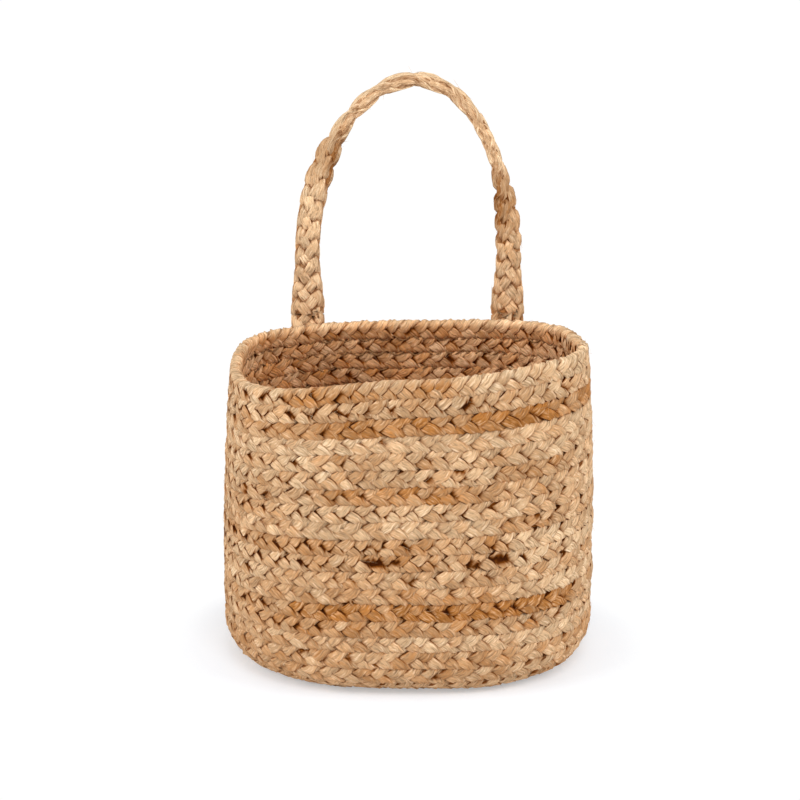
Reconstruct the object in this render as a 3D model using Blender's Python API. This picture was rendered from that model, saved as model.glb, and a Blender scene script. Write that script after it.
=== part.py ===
"""Wall basket: one long jute braid coiled edge to edge, with a braided hanging loop sewn behind the back rim.

The frame is metres with +Z up. The front looks along -Y, the loop stands at the back (+Y), and the
origin is on the ground at the middle of the floor.
"""

import math

import bmesh
import bpy
from mathutils import Vector
from mathutils.kdtree import KDTree

# The coiled braid
BRAID_PITCH = 0.00901
BRAID_THICKNESS = 0.0072
TURN_GAP = 0.0007
LAST_TURN = 26
STEPS_PER_TURN = 24
FIRST_STEP = 5
TUCK_STEPS = 2
START_REACH = 0.0028
START_WIDTH = 0.0044
SECTION_SIDES = 6

# The oval that the braid is laid round, measured over the outside
BELLY_HALF_WIDTH = 0.1015
BELLY_HALF_DEPTH = 0.0795
RIM_HALF_WIDTH = 0.0955
RIM_HALF_DEPTH = 0.0690
CORNER_RADIUS = 0.0206
FLOOR_OFFSET = 0.0022
RIM_TILT = 0.0054
RIM_WAVE = 0.0030

# The thread that laces each turn to the next, in the groove of the inner side
THREAD_DIAMETER = 0.0010
THREAD_DEPTH = 0.0019

# The hanging loop: two sewn ends behind the back rim and a free arch above them
LOOP_HALF_SPAN = 0.0565
LOOP_RISE = 0.1300
LEG_HEIGHT = 0.0310
LOOP_WIDTH = 0.0148
LOOP_THICKNESS = 0.0072
LEG_FOOT_WIDTH = 0.0205
FOOT_HEIGHT = 0.0300
SEWN_ROWS = 4
AXIS_ABOVE_RIM = 0.0034
STITCH_DIAMETER = 0.0011
STITCH_ROWS = 3

# Clearance between pieces that touch
SEAT_GAP = 0.0003

# Shares and counts without a unit
BELLY_SQUARE = 2.6
RIM_SQUARE = 3.2
ARCH_SQUARE = 2.0
RUN_END_SHARE = math.cos(math.radians(75))
TUCK_DROP_SHARE = 0.62
ARCH_LEAN_SHARE = 0.06
TWIST_SHARES = (0.20, 0.42, 0.70, 0.90)
FLOOR_SETTLE_TURNS = 4
SQUARE_TURNS = 2
WAVE_TURNS = 6
ARCH_STEPS = 26
LEG_STEPS = 5
END_STEPS = 4
AHEAD_SHARE = 0.25
ASIDE_SHARE = 0.05

# Angles in degrees
HINGE_END_ANGLE = 78
SHARP_ANGLE = 50

# Sizes that follow from those above
HALF_THICK = BRAID_THICKNESS / 2
FULL_DEPTH = BELLY_HALF_DEPTH - HALF_THICK
CORE = BELLY_HALF_WIDTH - BELLY_HALF_DEPTH
BEND = CORNER_RADIUS - HALF_THICK
FLAT_RUN = FULL_DEPTH - BEND
BEND_RUN = BEND * math.pi / 2
WALL_START = FLAT_RUN + BEND_RUN
WALL_FOOT = HALF_THICK + BEND
WALL_TURNS = LAST_TURN - WALL_START / BRAID_PITCH
RIM_HEIGHT = WALL_FOOT + BRAID_PITCH * WALL_TURNS
FLOOR_TURNS = FLAT_RUN / BRAID_PITCH
FAN = (RIM_TILT + FLOOR_OFFSET) / (LAST_TURN - FLOOR_TURNS)
LOOP_HALF_THICK = LOOP_THICKNESS / 2

# Colour and roughness of the plain finishes
JUTE = (0.52, 0.36, 0.20, 0.85)
JUTE_LOOP = (0.56, 0.40, 0.23, 0.85)
THREAD = (0.45, 0.31, 0.17, 0.80)

MILLIMETRE = 0.001


def clamp(value, low=0.0, high=1.0):
    """Keep a value between two limits."""
    return max(low, min(high, value))


def ease(value):
    """Rise smoothly from 0 to 1."""
    value = clamp(value)
    return value * value * (3 - 2 * value)


def signed_power(value, exponent):
    """Raise a signed value to a power and keep its sign."""
    return math.copysign(abs(value) ** exponent, value)


def meridian(run):
    """Half depth and height of the braid's middle line, a run away from the middle of the floor."""
    if run <= FLAT_RUN:
        return run, HALF_THICK
    if run <= WALL_START:
        angle = (run - FLAT_RUN) / BEND
        return FLAT_RUN + BEND * math.sin(angle), HALF_THICK + BEND * (1 - math.cos(angle))
    return FULL_DEPTH, WALL_FOOT + run - WALL_START


def wall_share(height):
    """Share of the wall's height, 0 at the top of the corner and 1 at the rim."""
    return clamp((height - WALL_FOOT) / (RIM_HEIGHT - WALL_FOOT))


def oval(height, inward=0.0):
    """Half width, half depth and squareness of the wall's middle line at a height."""
    share = wall_share(height)
    width = BELLY_HALF_WIDTH - (BELLY_HALF_WIDTH - RIM_HALF_WIDTH) * share ** 2
    depth = BELLY_HALF_DEPTH - (BELLY_HALF_DEPTH - RIM_HALF_DEPTH) * share ** 2
    square = BELLY_SQUARE + (RIM_SQUARE - BELLY_SQUARE) * share
    return width - HALF_THICK - inward, depth - HALF_THICK - inward, square


def shift(turn):
    """How far a turn lies further out towards the right end than towards the left one."""
    settled = FLOOR_OFFSET * clamp((turn - 1) / FLOOR_SETTLE_TURNS)
    return FAN * max(0.0, turn - FLOOR_TURNS) - settled


def wave(turn):
    """How far the last turns of the front dip left of the middle and rise right of it."""
    angle = math.tau * turn
    growth = ease((turn - LAST_TURN + WAVE_TURNS) / WAVE_TURNS)
    return RIM_WAVE * growth * math.sin(2 * angle) * min(0.0, math.sin(angle))


def run_at(turn):
    """Run from the middle of the floor at a place on the coil, counted in turns."""
    return BRAID_PITCH * turn + shift(turn) * math.cos(math.tau * turn) + wave(turn)


def spacing(turn):
    """Distance between this turn and its neighbours."""
    return (run_at(turn + 1) - run_at(turn - 1)) / 2


def place(turn, run):
    """Point on the basket's middle surface at a direction, given in turns, and a run."""
    angle = math.tau * turn
    cos, sin = math.cos(angle), math.sin(angle)
    if turn < 1 and cos <= -RUN_END_SHARE:
        radius = BRAID_PITCH / 2 + run - run_at(turn)
        return Vector((radius * cos - CORE, radius * sin - BRAID_PITCH / 4, HALF_THICK))
    depth, height = meridian(run)
    slide = CORE * clamp(cos / RUN_END_SHARE, -1, 1)
    stadium = Vector((slide + depth * cos, depth * sin, height))
    width, breadth, square = oval(height, FULL_DEPTH - depth)
    squared = Vector((width * signed_power(cos, 2 / square), breadth * signed_power(sin, 2 / square), height))
    settling = SQUARE_TURNS * BRAID_PITCH
    return stadium.lerp(squared, ease((run - FLAT_RUN + settling) / (BEND_RUN + 2 * settling)))


def frame_at(turn):
    """Middle point of the braid with the directions to the next turn and out of the basket."""
    ahead = AHEAD_SHARE / STEPS_PER_TURN
    aside = ASIDE_SHARE * BRAID_PITCH
    run = run_at(turn)
    point = place(turn, run)
    forward = place(turn + ahead, run_at(turn + ahead)) - place(turn - ahead, run_at(turn - ahead))
    across = (place(turn, run + aside) - place(turn, run - aside)).normalized()
    outward = forward.cross(across).normalized()
    return point, across, outward


def ring(frame, half_width, half_thick, sides=SECTION_SIDES):
    """Closed outline of a section with flats on its two broad faces."""
    point, across, outward = frame
    flat = half_thick / math.sin(math.pi / 3) if sides == SECTION_SIDES else half_thick
    turns = [math.tau * side / sides for side in range(sides)]
    return [point + across * half_width * math.cos(a) + outward * flat * math.sin(a) for a in turns]


def skin(name, rings, finish):
    """Make one object from a row of rings that are bridged and capped."""
    mesh = bpy.data.meshes.new(name)
    made = bmesh.new()
    rows = [[made.verts.new(point) for point in outline] for outline in rings]
    for lower, upper in zip(rows, rows[1:]):
        for side in range(len(lower)):
            after = (side + 1) % len(lower)
            made.faces.new((lower[side], lower[after], upper[after], upper[side]))
    made.faces.new(list(reversed(rows[0])))
    made.faces.new(rows[-1])
    bmesh.ops.recalc_face_normals(made, faces=made.faces)
    bmesh.ops.triangulate(made, faces=made.faces)
    made.to_mesh(mesh)
    made.free()
    mesh.shade_smooth()
    mesh.set_sharp_from_angle(angle=math.radians(SHARP_ANGLE))
    red, green, blue, roughness = finish
    material = bpy.data.materials.new(name + "_finish")
    material.use_nodes = True
    shader = material.node_tree.nodes["Principled BSDF"]
    shader.inputs["Base Color"].default_value = (red, green, blue, 1)
    shader.inputs["Roughness"].default_value = roughness
    shader.inputs["Metallic"].default_value = 0
    mesh.materials.append(material)
    piece = bpy.data.objects.new(name, mesh)
    bpy.context.collection.objects.link(piece)


def braid_frame(turn):
    """Frame of the coil, drawn in and down where the end of the last turn is tucked inside the rim."""
    point, across, outward = frame_at(turn)
    tuck = clamp((turn - LAST_TURN) * STEPS_PER_TURN / TUCK_STEPS + 0.5)
    inward = tuck * (BRAID_THICKNESS + TURN_GAP)
    return point - outward * inward - across * inward * TUCK_DROP_SHARE, across, outward


def coil_rings():
    """Sections of the whole coil, from the middle of the floor to the tucked end, flat on the ground."""
    last_step = LAST_TURN * STEPS_PER_TURN + TUCK_STEPS // 2
    rings = []
    for step in range(FIRST_STEP, last_step + 1):
        turn = step / STEPS_PER_TURN
        outline = ring(braid_frame(turn), (spacing(max(turn, 1)) - TURN_GAP) / 2, HALF_THICK)
        rings.append([Vector((p.x, p.y, max(0.0, p.z))) for p in outline])
    point, across, outward = braid_frame(FIRST_STEP / STEPS_PER_TURN)
    tip = (point + Vector((START_REACH, 0, 0)), across, outward)
    return [ring(tip, START_WIDTH / 2, HALF_THICK)] + rings


def thread_rings():
    """Sections of the lacing thread, halfway between each turn and the next one out."""
    last_step = (LAST_TURN - 1) * STEPS_PER_TURN - TUCK_STEPS
    rings = []
    for step in range(FIRST_STEP + 1, last_step + 1):
        turn = step / STEPS_PER_TURN
        point, across, outward = frame_at(turn)
        next_point, next_across, next_outward = frame_at(turn + 1)
        normal = (outward + next_outward).normalized()
        middle = (point + next_point) / 2 - normal * THREAD_DEPTH
        radius = THREAD_DIAMETER / 2
        rings.append(ring((middle, (across + next_across).normalized(), normal), radius, radius, sides=4))
    return rings


def least_gap(rings):
    """Least distance between neighbouring turns, measured on points along their skins."""
    parts = 4
    points = []
    for index, (first, second) in enumerate(zip(rings, rings[1:])):
        for part in range(parts):
            outline = [a.lerp(b, part / parts) for a, b in zip(first, second)]
            for a, b in zip(outline, outline[1:] + outline[:1]):
                points += [(index, a), (index, a.lerp(b, 0.5))]
    tree = KDTree(len(points))
    for number, (_, point) in enumerate(points):
        tree.insert(point, number)
    tree.balance()
    least = BRAID_PITCH
    for index, point in points:
        for _, number, distance in tree.find_range(point, least):
            if abs(points[number][0] - index) > STEPS_PER_TURN // 3:
                least = min(least, distance)
    return least


def rim_top(side):
    """Height of the rim's upper edge where a sewn end of the loop passes behind it."""
    width, _, square = oval(RIM_HEIGHT)
    share = (LOOP_HALF_SPAN / width) ** (square / 2)
    turn = LAST_TURN - 1 + math.acos(side * share) / math.tau
    return place(turn, run_at(turn)).z + spacing(turn) / 2


def wall_behind(x, height):
    """Point on the outer face of the back wall, and the sideways slope of the wall there."""
    width, depth, square = oval(height)
    share = clamp(abs(x) / width) ** square
    y = depth * (1 - share) ** (1 / square)
    normal = Vector((signed_power(x / width, square - 1) / width, (y / depth) ** (square - 1) / depth, 0))
    normal.normalize()
    return Vector((x, y, height)) + normal * HALF_THICK, normal


def wall_reach(side, normal, height):
    """How far the back wall reaches along a direction, over the width of a sewn end."""
    samples = 8
    reach = []
    for index in range(samples + 1):
        x = side * (LOOP_HALF_SPAN + LEG_FOOT_WIDTH * (index / samples - 0.5))
        reach.append(wall_behind(x, height)[0].dot(normal))
    return max(reach)


def sewn_frame(side, height, square_on):
    """Frame of a sewn end of the loop at a height: it lies on the wall and stands up square at its top."""
    level = min(height, RIM_HEIGHT)
    wall_normal = wall_behind(side * LOOP_HALF_SPAN, level)[1]
    normal = wall_normal.lerp(Vector((0, 1, 0)), square_on).normalized()
    along = Vector((normal.y, -normal.x, 0))
    reach = wall_reach(side, normal, level) + SEAT_GAP + LOOP_HALF_THICK
    across = side * LOOP_HALF_SPAN - normal.x * reach
    point = normal * reach + along * (across / along.x)
    return Vector((point.x, point.y, height)), along, normal


AXIS_HEIGHT = max(rim_top(-1), rim_top(1)) + AXIS_ABOVE_RIM
AXIS_DEPTH = sewn_frame(1, AXIS_HEIGHT, 1)[0].y
SEWN_TOP = AXIS_HEIGHT - LOOP_HALF_THICK - SEAT_GAP
SEWN_LENGTH = SEWN_ROWS * BRAID_PITCH


def sewn_height(share):
    """Height on a sewn end, 0 at its top and 1 at its lower end."""
    return SEWN_TOP - share * SEWN_LENGTH


def sewn_end_frame(side, share):
    """Frame of a sewn end by its share of length, square to the hinge at the top."""
    square_on = 1 - ease((SEWN_TOP - sewn_height(share)) / BRAID_PITCH)
    return sewn_frame(side, sewn_height(share), square_on)


def sewn_end_rings(side):
    """Sections of a sewn end of the loop's braid, behind the back wall."""
    steps = 3 * SEWN_ROWS
    half_width = LEG_FOOT_WIDTH / 2
    return [ring(sewn_end_frame(side, step / steps), half_width, LOOP_HALF_THICK) for step in range(steps + 1)]


def stitch_rings(side, share):
    """Sections of one stitch: a thread over the sewn end, with both feet beside it at the wall."""
    point, along, normal = sewn_end_frame(side, share)
    radius = STITCH_DIAMETER / 2
    beside = along * (LEG_FOOT_WIDTH / 2 + SEAT_GAP + radius)
    over = normal * (LOOP_HALF_THICK + SEAT_GAP + radius)
    foot = normal * -(LOOP_HALF_THICK - radius)
    up = Vector((0, 0, 1))
    miter = math.sqrt(2)
    corner = [(-beside + foot, along, 1), (-beside + over, (along - normal).normalized(), miter),
              (beside + over, (along + normal).normalized(), miter), (beside + foot, along, 1)]
    rings = []
    for number, (offset, width_axis, stretch) in enumerate(corner):
        axis = -width_axis if number > 1 else width_axis
        rings.append(ring((point + offset, axis, up), radius * stretch, radius, sides=4))
    return rings


def arch_point(share):
    """Middle of the loop's braid: straight legs and a rounded arch, by its share from left to right."""
    leg_share = LEG_STEPS / (2 * LEG_STEPS + ARCH_STEPS)
    if share < leg_share:
        return Vector((-LOOP_HALF_SPAN, AXIS_DEPTH, AXIS_HEIGHT + LEG_HEIGHT * share / leg_share))
    if share > 1 - leg_share:
        return Vector((LOOP_HALF_SPAN, AXIS_DEPTH, AXIS_HEIGHT + LEG_HEIGHT * (1 - share) / leg_share))
    angle = math.pi * (share - leg_share) / (1 - 2 * leg_share)
    lift = math.sin(angle) ** (2 / ARCH_SQUARE)
    x = -LOOP_HALF_SPAN * signed_power(math.cos(angle), 2 / ARCH_SQUARE)
    x += ARCH_LEAN_SHARE * LOOP_HALF_SPAN * lift ** 2
    return Vector((x, AXIS_DEPTH, AXIS_HEIGHT + LEG_HEIGHT + (LOOP_RISE - LEG_HEIGHT) * lift))


def twist_at(share):
    """Quarter turns that the flat braid has made, flat to the front at 0 and edge on at 1."""
    left_start, left_end, right_start, right_end = TWIST_SHARES
    left = ease((share - left_start) / (left_end - left_start))
    right = ease((share - right_start) / (right_end - right_start))
    return left - right


def arch_rings():
    """Sections of the free part of the loop, from the left hinge end over the arch to the right one."""
    steps = 2 * LEG_STEPS + ARCH_STEPS
    ahead = AHEAD_SHARE / steps
    back = Vector((0, 1, 0))
    rings = []
    for step in range(steps + 1):
        share = step / steps
        point = arch_point(share)
        forward = arch_point(min(1, share + ahead)) - arch_point(max(0, share - ahead))
        outer = back.cross(forward).normalized()
        quarter = twist_at(share) * math.pi / 2
        along = outer * math.cos(quarter) + back * math.sin(quarter)
        normal = along.cross(forward).normalized()
        flare = 1 - ease((point.z - AXIS_HEIGHT) / FOOT_HEIGHT)
        half_width = (LOOP_WIDTH + (LEG_FOOT_WIDTH - LOOP_WIDTH) * flare) / 2
        rings.append(ring((point, along, normal), half_width, LOOP_HALF_THICK))
    return hinge_end(rings[0]) + rings + list(reversed(hinge_end(rings[-1])))


def hinge_end(outline):
    """Rounded lower end of a leg, about the line on which the loop folds, lowest section first."""
    middle = sum(outline, Vector()) / len(outline)
    rings = []
    for step in range(END_STEPS, 0, -1):
        angle = math.radians(HINGE_END_ANGLE) * step / END_STEPS
        drop = Vector((0, 0, -LOOP_HALF_THICK * math.sin(angle)))
        shrink = math.cos(angle)
        rings.append([Vector((p.x, middle.y + (p.y - middle.y) * shrink, p.z)) + drop for p in outline])
    return rings


def clear_scene():
    """Remove whatever the scene holds."""
    for old in list(bpy.data.objects):
        bpy.data.objects.remove(old, do_unlink=True)


def build():
    """Make every piece of the basket."""
    clear_scene()
    coil = coil_rings()
    skin("coiled_braid", coil, JUTE)
    print("least gap between the coil's turns in mm:", round(least_gap(coil) / MILLIMETRE, 2))
    skin("seam_thread", thread_rings(), THREAD)
    for side, name in ((-1, "left"), (1, "right")):
        skin("loop_sewn_end_" + name, sewn_end_rings(side), JUTE_LOOP)
        for row in range(STITCH_ROWS):
            stitch = stitch_rings(side, (row + 0.75) / (STITCH_ROWS + 0.5))
            skin("loop_stitch_" + name + "_" + str(row + 1), stitch, THREAD)
    skin("hanging_loop", arch_rings(), JUTE_LOOP)
    print("hinge line depth and height:", round(AXIS_DEPTH, 5), round(AXIS_HEIGHT, 5))


build()
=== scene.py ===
"""Looks of a small wall basket: a jute braid coiled into an oval body, with a wider braid as hanging loop.

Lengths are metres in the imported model's frame: +Z is up, the front looks along -Y, and the origin is on the
ground at the middle of the floor. The routes of both braids follow the same rules as their solids. Places on
the coil are counted in turns from its start in the middle of the floor: a whole number is at the right end of
the oval, a quarter later is the back, and three quarters later is the front.
"""

import logging
import math
from dataclasses import dataclass, field
from enum import Enum

import bpy
import numpy as np
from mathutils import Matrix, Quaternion, Vector


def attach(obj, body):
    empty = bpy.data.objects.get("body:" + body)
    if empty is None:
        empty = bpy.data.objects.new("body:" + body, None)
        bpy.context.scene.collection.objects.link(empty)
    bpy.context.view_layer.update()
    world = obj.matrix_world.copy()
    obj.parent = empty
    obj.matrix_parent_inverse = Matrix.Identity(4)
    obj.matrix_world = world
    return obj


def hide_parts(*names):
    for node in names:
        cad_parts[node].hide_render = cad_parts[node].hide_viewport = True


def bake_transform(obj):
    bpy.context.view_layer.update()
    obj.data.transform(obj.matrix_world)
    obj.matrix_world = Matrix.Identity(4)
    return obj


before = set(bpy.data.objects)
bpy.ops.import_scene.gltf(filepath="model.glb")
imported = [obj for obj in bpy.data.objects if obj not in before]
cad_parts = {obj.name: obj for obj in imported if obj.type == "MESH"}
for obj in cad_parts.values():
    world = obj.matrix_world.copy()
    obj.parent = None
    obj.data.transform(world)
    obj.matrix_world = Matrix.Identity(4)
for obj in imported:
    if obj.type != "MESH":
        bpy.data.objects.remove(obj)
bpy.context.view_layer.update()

log = logging.getLogger("wall_basket")

Colour = tuple[float, float, float]
Array = np.ndarray


def plain_colour(red: int, green: int, blue: int) -> Colour:
    """Turn a colour of 0 to 255, as a screen shows it, into the values that shaders take."""
    shares = [value / 255 for value in (red, green, blue)]
    return tuple(s / 12.92 if s <= 0.04045 else ((s + 0.055) / 1.055) ** 2.4 for s in shares)


def ease(value: Array) -> Array:
    """Rise smoothly from 0 to 1."""
    value = np.clip(value, 0, 1)
    return value * value * (3 - 2 * value)


def signed_power(value: Array, exponent: Array) -> Array:
    """Raise signed values to a power and keep their sign."""
    return np.copysign(np.abs(value) ** exponent, value)


def unit(vectors: Array) -> Array:
    """Scale vectors to a length of one."""
    return vectors / np.linalg.norm(vectors, axis=-1, keepdims=True)


def reach_along(points: Array) -> Array:
    """Length along a line of points, from its first one to each."""
    return np.concatenate([[0.0], np.cumsum(np.linalg.norm(np.diff(points, axis=0), axis=1))])


def wander(where: Array, stride: float, seed: int) -> Array:
    """Smooth random values between -1 and 1 along a length.

    Args:
        where: Places along the length.
        stride: Length between two independent values.
        seed: Picks the series.

    Returns:
        One value for each place.
    """
    steps = (where - where.min()) / stride
    knots = np.random.default_rng(seed).uniform(-1, 1, int(steps.max()) + 2)
    low = steps.astype(int)
    share = ease(steps - low)
    return knots[low] * (1 - share) + knots[low + 1] * share


def leafwise(phase: Array, seed: int) -> Array:
    """Random values between -1 and 1 that hold over a leaf and change where the strand turns at an edge.

    Args:
        phase: The strand's phase in the braid, in radians.
        seed: Picks the series.

    Returns:
        One value for each place.
    """
    change_share = 0.14
    step = phase / math.pi + 0.5
    step = step - np.floor(step.min())
    knots = np.random.default_rng(seed).uniform(-1, 1, int(step.max()) + 2)
    low = step.astype(int)
    share = ease((step - low - 1 + change_share) / change_share)
    return knots[low] * (1 - share) + knots[low + 1] * share


class Signal:
    """One output of a shader node, which can be used in sums like a number."""

    def __init__(self, shader: "Shader", socket: bpy.types.NodeSocket) -> None:
        """Keep the socket with the shader that it belongs to."""
        self.shader = shader
        self.socket = socket

    def other(self, name: str) -> "Signal":
        """Give another output of the same node."""
        return Signal(self.shader, self.socket.node.outputs[name])

    def math(self, operation: str, *values: "Signal | float") -> "Signal":
        """Join this signal and others in a Math node."""
        inputs = dict(enumerate((self, *values)))
        return self.shader.node("Math", {"operation": operation}, inputs)

    def clamped(self) -> "Signal":
        """Keep the signal between 0 and 1."""
        return self.shader.node("Clamp", {}, {0: self})

    def __add__(self, other: "Signal | float") -> "Signal":
        """Add a signal or a number."""
        return self.math("ADD", other)

    def __radd__(self, other: float) -> "Signal":
        """Add to a number."""
        return self.math("ADD", other)

    def __sub__(self, other: "Signal | float") -> "Signal":
        """Take a signal or a number away."""
        return self.math("SUBTRACT", other)

    def __rsub__(self, other: float) -> "Signal":
        """Take the signal from a number."""
        return self.shader.node("Math", {"operation": "SUBTRACT"}, {0: other, 1: self})

    def __mul__(self, other: "Signal | float") -> "Signal":
        """Multiply by a signal or a number."""
        return self.math("MULTIPLY", other)

    def __rmul__(self, other: float) -> "Signal":
        """Multiply a number."""
        return self.math("MULTIPLY", other)

    def __pow__(self, other: float) -> "Signal":
        """Raise to a power."""
        return self.math("POWER", other)


class Shader:
    """A material that is put together from nodes."""

    def __init__(self, name: str) -> None:
        """Start an empty material."""
        self.material = bpy.data.materials.new(name)
        self.material.use_nodes = True
        self.tree = self.material.node_tree
        self.tree.nodes.clear()

    def node(self, kind: str, settings: dict, inputs: dict, output: int | str = 0) -> Signal:
        """Make one node.

        Args:
            kind: The node's type without the word ShaderNode.
            settings: Properties that are set first; stops holds a ramp's places and colours.
            inputs: Values or signals by the socket's name or number.
            output: Name or number of the output that is given back.

        Returns:
            The chosen output.
        """
        made = self.tree.nodes.new("ShaderNode" + kind)
        for key, value in settings.items():
            if key == "stops":
                self._set_stops(made.color_ramp, value)
            else:
                setattr(made, key, value)
        for key, value in inputs.items():
            if isinstance(value, Signal):
                self.tree.links.new(value.socket, made.inputs[key])
            else:
                made.inputs[key].default_value = value
        return Signal(self, made.outputs[output]) if made.outputs else None

    @staticmethod
    def _set_stops(ramp: bpy.types.ColorRamp, stops: list) -> None:
        """Give a ramp its places and colours."""
        while len(ramp.elements) < len(stops):
            ramp.elements.new(0.5)
        for element, (place, colour) in zip(ramp.elements, stops):
            element.position = place
            element.color = (*colour, 1)

    def attribute(self, name: str, output: str = "Fac") -> Signal:
        """Read a value that the mesh carries at its points."""
        return self.node("Attribute", {"attribute_name": name}, {}, output)

    def noise(self, vector: Signal, scale: float, detail: float = 2.0) -> Signal:
        """Soft random values of about 0 to 1."""
        return self.node("TexNoise", {}, {"Vector": vector, "Scale": scale, "Detail": detail}, "Fac")

    def stretched(self, vector: Signal, factors: tuple[float, float, float]) -> Signal:
        """Multiply a vector by a factor for each direction."""
        return self.node("VectorMath", {"operation": "MULTIPLY"}, {0: vector, 1: factors})

    def bent(self, vector: Signal, scale: float, reach: float) -> Signal:
        """Move a vector to and fro by slow random values of up to about half the reach."""
        drift = self.node("TexNoise", {}, {"Vector": vector, "Scale": scale, "Detail": 1.0}, "Color")
        inputs = {0: drift, 1: (reach,) * 3, 2: vector}
        return self.node("VectorMath", {"operation": "MULTIPLY_ADD"}, inputs)

    def spread(self, value: Signal, low: float, high: float) -> Signal:
        """Turn the range from low to high into 0 to 1."""
        return self.node("MapRange", {}, {"Value": value, "From Min": low, "From Max": high})

    def mixed(self, share: Signal | float, first: Signal | Colour, second: Signal | Colour) -> Signal:
        """Blend two colours by a share."""
        inputs = {"Factor": share}
        for number, colour in ((6, first), (7, second)):
            inputs[number] = colour if isinstance(colour, Signal) else (*colour, 1)
        return self.node("Mix", {"data_type": "RGBA"}, inputs, 2)

    def scaled(self, colour: Signal, value: Signal) -> Signal:
        """Make a colour lighter or darker by a value."""
        return self.node("VectorMath", {"operation": "SCALE"}, {0: colour, "Scale": value})

    def finish(self, surface: Signal) -> bpy.types.Material:
        """Send the surface to the material's output."""
        self.node("OutputMaterial", {}, {"Surface": surface})
        return self.material


@dataclass(frozen=True)
class JuteFinish:
    """Natural jute: long fibres of mixed cream, tan and orange, matt with a faint silky sheen."""

    name: str
    pale: Colour = plain_colour(232, 196, 154)
    warm: Colour = plain_colour(183, 121, 61)
    dull: Colour = plain_colour(216, 189, 153)
    # bright: colour of the palest fibres, which also serves as their painted highlights
    bright: Colour = plain_colour(250, 229, 200)
    # shade and deep: colours of the painted shade in creases, hollows and the core between the strands
    shade: Colour = plain_colour(146, 81, 18)
    deep: Colour = plain_colour(76, 32, 2)
    roughness: float = 0.82
    sheen: float = 0.02
    bundle_width: float = 0.0016
    fibre_width: float = 0.00078
    streak_length: float = 0.0064
    fibre_bend: float = 0.0016
    streak_contrast: float = 0.50
    bump_height: float = 0.00036

    def make(self) -> bpy.types.Material:
        """Make the material from the strand's own coordinates and tones, with the painted shade and painted
        light that the mesh carries and painted highlights on the palest fibres.
        """
        shader = Shader(self.name)
        place = shader.bent(shader.attribute("strand_space", "Vector"), 260.0, self.fibre_bend)
        along = 1 / self.streak_length
        bundle = shader.stretched(place, (along, 1 / self.bundle_width, 1 / self.bundle_width))
        fibre = shader.stretched(place, (2 * along, 1 / self.fibre_width, 1 / self.fibre_width))
        bundles = shader.spread(shader.noise(bundle, 1.0, 3.0), 0.34, 0.66)
        grain = shader.noise(fibre, 1.0, 3.0)
        fibres = shader.spread(grain, 0.34, 0.66)
        streak = bundles * 0.35 + fibres * 0.65
        patches = shader.noise(shader.node("TexCoord", {}, {}, "Object"), 90.0)
        tone = (shader.attribute("tone") + (bundles - 0.5) * 0.28 + (fibres - 0.5) * 0.26).clamped()
        colour = shader.mixed(tone, self.pale, self.warm)
        grey = shader.spread(patches * 0.6 + fibres * 0.4, 0.50, 0.74) * 0.3 + shader.attribute("dullness")
        colour = shader.mixed(grey.clamped(), colour, self.dull)
        painted_shade = shader.attribute("painted_shade").clamped()
        gaps = shader.spread(grain, 0.47, 0.34)
        # Painted highlight: the palest fibres are lightened towards bright, less so on warm jute.
        painted_highlight = shader.spread(grain, 0.55, 0.70) * (0.65 - tone * 0.5)
        colour = shader.mixed(painted_highlight.clamped(), colour, self.bright)
        # Painted shade in creases, hollows and the core, with the fine dark gaps between fibres, pulls the
        # colour towards shade and deep.
        colour = shader.mixed((painted_shade * 1.55 + gaps * 0.30).clamped(), colour, self.shade)
        colour = shader.mixed((painted_shade * painted_shade * 1.1 + gaps * gaps * 0.10).clamped(), colour, self.deep)
        # The brightness read from the mesh holds random brightness per leaf and the painted light of the
        # inner face and the loop.
        light = 1 - self.streak_contrast * 0.5 + streak * self.streak_contrast
        colour = shader.scaled(colour, light * shader.attribute("leaf_light"))
        bump = shader.node("Bump", {}, {"Height": streak, "Distance": self.bump_height, "Strength": 1.0})
        surface = shader.node("BsdfPrincipled", {}, {
            "Base Color": colour,
            "Roughness": self.roughness - streak * 0.12,
            "Normal": bump,
            "Sheen Weight": self.sheen,
            "Sheen Roughness": 0.4,
            "Specular IOR Level": 0.06,
        })
        return shader.finish(surface)


@dataclass(frozen=True)
class ThreadFinish:
    """Twisted jute thread, a little darker than the braid."""

    name: str
    colour: Colour = plain_colour(176, 130, 80)
    deep: Colour = plain_colour(104, 62, 28)
    roughness: float = 0.8
    ply_width: float = 0.0007

    def make(self) -> bpy.types.Material:
        """Make the material with fine fibres from the piece's own place."""
        shader = Shader(self.name)
        place = shader.node("TexCoord", {}, {}, "Object")
        fibres = shader.noise(place, 1 / self.ply_width)
        colour = shader.mixed(shader.spread(fibres, 0.35, 0.65), self.deep, self.colour)
        bump = shader.node("Bump", {}, {"Height": fibres, "Distance": 0.0002})
        inputs = {"Base Color": colour, "Roughness": self.roughness, "Normal": bump}
        return shader.finish(shader.node("BsdfPrincipled", {}, inputs))


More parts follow.
